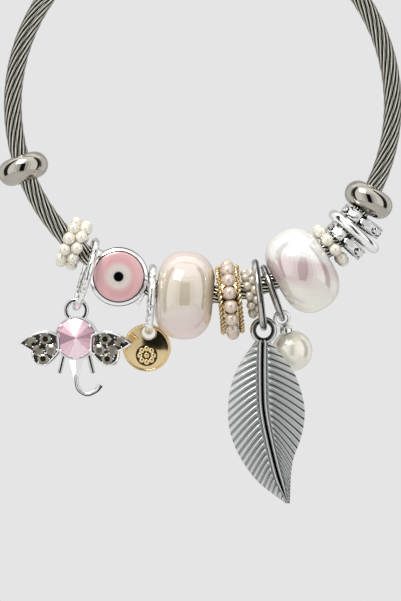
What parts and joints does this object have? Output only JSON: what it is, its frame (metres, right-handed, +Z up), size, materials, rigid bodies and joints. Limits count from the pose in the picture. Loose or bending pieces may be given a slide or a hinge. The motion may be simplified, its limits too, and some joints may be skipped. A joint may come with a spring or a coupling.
{
  "type": "charm bangle",
  "caption": "Charm bangle of twisted steel cable threaded with glazed beads, pearl rings and spacers, with elephant, coin, leaf and pearl charms hanging from rings.",
  "frame": {"origin": "underside of the clasp sleeve at the top of the loop, where the bangle hangs", "axes": "+Z up, +X to the wearer's view right across the loop, +Y to the back; the charms face -Y"},
  "size_m": [0.0645, 0.0142, 0.0963],
  "materials": {
    "cable_steel": "twisted wire, satin",
    "polished_steel": "polished",
    "bright_silver": "polished plate",
    "antique_silver": "cast, antiqued",
    "gold": "polished plate",
    "pearl": "pearl lacquer",
    "cream_glaze": "glossy pearl glaze",
    "iridescent_glaze": "glossy iridescent glaze",
    "pink_enamel": "domed enamel",
    "pink_crystal": "cut and foiled",
    "dark_crystal": "cut and foiled"
  },
  "bodies": {
    "root": {"cable": "cable_steel", "clasp_sleeve": "polished_steel", "stopper_left": "polished_steel", "stopper_right": "polished_steel", "seed_ring_left": "pearl", "seed_ring_middle": "pearl", "seed_ring_right": "pearl", "eye_frame": "bright_silver", "eye_dome_front": "pink_enamel", "eye_dome_back": "pink_enamel", "bead_cream": "cream_glaze", "bead_iridescent": "iridescent_glaze", "gold_ring_frame": "gold", "gold_ring_pearls": "pearl", "crystal_rondelle_lower": "bright_silver", "crystal_rondelle_upper": "bright_silver", "plain_spacer": "bright_silver", "coin_bail": "bright_silver", "coin_charm": "gold", "pearl_ring": "polished_steel", "pearl_cap": "bright_silver", "drop_pearl": "pearl"},
    "elephant_bail": {"elephant_bail": "bright_silver"},
    "elephant": {"elephant_body": "bright_silver", "elephant_stone": "pink_crystal", "ear_stones_left": "dark_crystal", "ear_stones_right": "dark_crystal"},
    "leaf_bail": {"leaf_ring": "polished_steel"},
    "leaf": {"leaf_charm": "antique_silver"}
  },
  "joints": [
    {"name": "elephant_swing", "type": "hinge", "parent": "root", "child": "elephant_bail", "pos_m": [-0.01791, 0, -0.05266], "axis": [-0.808, 0, 0.5891], "range_deg": [-5, 40]},
    {"name": "elephant_sway", "type": "hinge", "parent": "elephant_bail", "child": "elephant", "pos_m": [-0.02024, 0, -0.06047], "axis": [0, -1, 0], "range_deg": [-12, 12]},
    {"name": "leaf_swing", "type": "hinge", "parent": "root", "child": "leaf_bail", "pos_m": [0.00887, 0, -0.05718], "axis": [-0.9565, 0, -0.2918], "range_deg": [0, 60]},
    {"name": "leaf_sway", "type": "hinge", "parent": "leaf_bail", "child": "leaf", "pos_m": [0.00973, -0.00046, -0.06374], "axis": [-0.0204, -0.9976, 0.0667], "range_deg": [-20, 20]}
  ]
}
